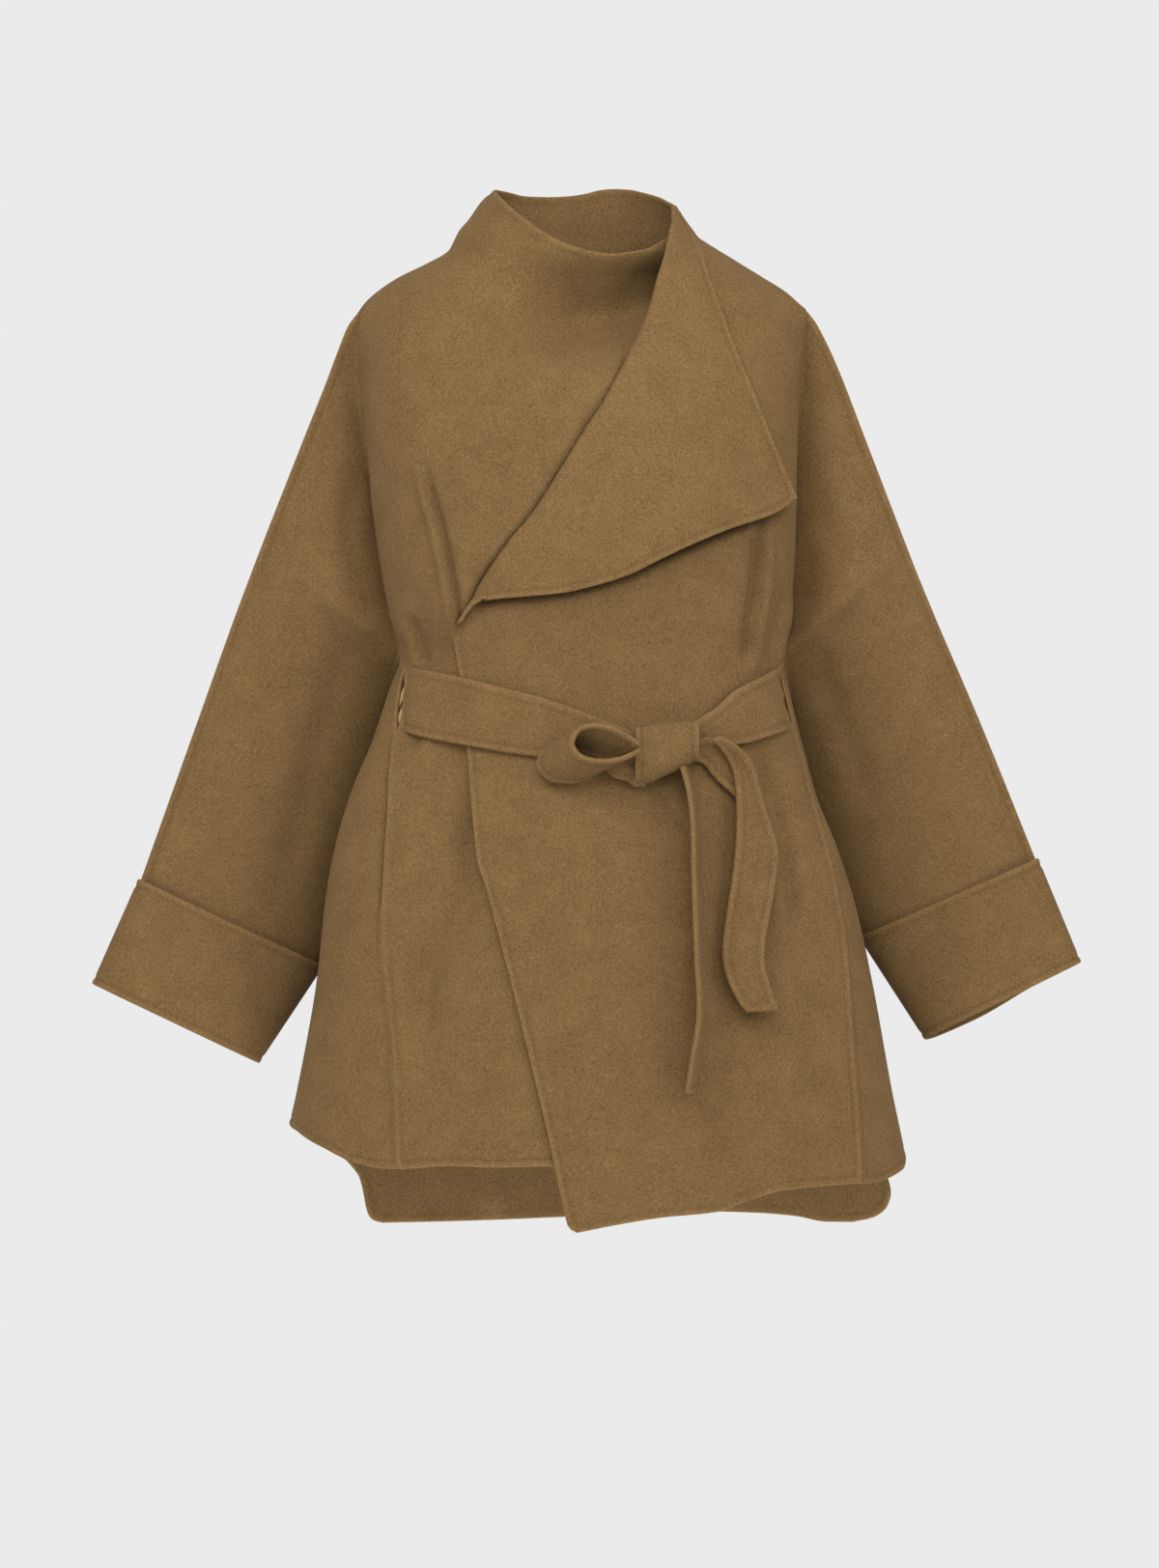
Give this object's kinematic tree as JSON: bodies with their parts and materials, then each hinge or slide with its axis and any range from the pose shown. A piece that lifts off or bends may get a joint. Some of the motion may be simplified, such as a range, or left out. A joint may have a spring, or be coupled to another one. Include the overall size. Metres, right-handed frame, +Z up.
{
  "type": "funnel-neck coat",
  "caption": "Hollow wrap coat in brown double-faced wool with a funnel neck, one turned-back lapel, wide sleeves with deep cuffs, a longer back and a tie belt in a half-bow.",
  "frame": {"origin": "midway between the shoulders, at the height where the shoulder seams rest on whoever wears the coat", "axes": "+X to the wearer's left, -Y to the front, +Z up"},
  "size_m": [0.9086, 0.3279, 0.9491],
  "materials": {
    "wool": "brushed double-faced wool with a soft nap",
    "binding": "woven striped binding"
  },
  "bodies": {
    "root": {"back_panel": "wool", "right_front": "wool", "left_front": "wool", "lapel": "wool", "right_side": "wool", "left_side": "wool", "right_sleeve_front": "wool", "right_sleeve_back": "wool", "left_sleeve_front": "wool", "left_sleeve_back": "wool", "right_cuff": "wool", "left_cuff": "wool", "belt_right_run": "wool", "belt_left_run": "wool", "belt_back_run": "wool", "belt_knot": "wool", "belt_loop": "wool", "belt_end_wide": "wool", "belt_end_narrow": "wool", "right_slit_binding": "binding", "left_slit_binding": "binding"}
  },
  "joints": []
}
